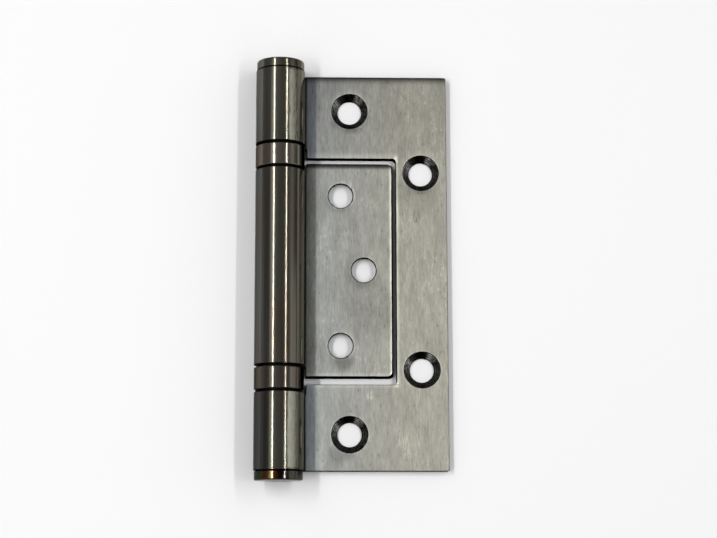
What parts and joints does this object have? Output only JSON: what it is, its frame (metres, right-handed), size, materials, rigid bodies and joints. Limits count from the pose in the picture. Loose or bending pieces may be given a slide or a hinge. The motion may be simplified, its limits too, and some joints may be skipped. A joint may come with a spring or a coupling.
{
  "type": "non-mortise hinge",
  "caption": "Flush non-mortise door hinge in dark satin steel: a small leaf nests in the window of the large one, on a rolled barrel with ball bearings.",
  "frame": {"origin": "middle of the closed hinge's footprint, on the plane of the leaves' backs that it lies on", "axes": "+Y along the pin to the top cap, +X from the pin to the leaves' free edges, +Z from the backs to the side where the barrel stands proud"},
  "size_m": [0.0482, 0.105, 0.0123],
  "materials": {
    "satin_dark_steel": "brushed dark satin",
    "polished_dark_steel": "dark polished",
    "plain_steel": "ground, oiled",
    "bright_steel": "polished",
    "nylon": "moulded"
  },
  "bodies": {
    "frame_side": {"outer_leaf": "satin_dark_steel", "hinge_pin": "plain_steel", "top_cap": "polished_dark_steel", "bottom_cap": "polished_dark_steel", "upper_bearing_collar": "polished_dark_steel", "lower_bearing_collar": "polished_dark_steel", "upper_outer_race": "plain_steel", "lower_outer_race": "plain_steel"},
    "door_side": {"inner_leaf": "satin_dark_steel", "upper_inner_race": "plain_steel", "lower_inner_race": "plain_steel"},
    "upper_ball_ring": {"upper_ball_cage": "nylon", "upper_balls": "bright_steel"},
    "lower_ball_ring": {"lower_ball_cage": "nylon", "lower_balls": "bright_steel"}
  },
  "joints": [
    {"name": "leaf_swing", "type": "hinge", "parent": "frame_side", "child": "door_side", "pos_m": [-0.01792, 0, 0.00615], "axis": [0, -1, 0], "range_deg": [0, 180]},
    {"name": "upper_ball_ring_roll", "type": "hinge", "parent": "frame_side", "child": "upper_ball_ring", "pos_m": [-0.01792, 0.02773, 0.00615], "axis": [0, -1, 0], "range_deg": [0, 90]},
    {"name": "lower_ball_ring_roll", "type": "hinge", "parent": "frame_side", "child": "lower_ball_ring", "pos_m": [-0.01792, -0.02773, 0.00615], "axis": [0, -1, 0], "range_deg": [0, 90]}
  ],
  "couplings": [
    {"joint": "upper_ball_ring_roll", "follows": "leaf_swing", "ratio": 0.5},
    {"joint": "lower_ball_ring_roll", "follows": "leaf_swing", "ratio": 0.5}
  ]
}
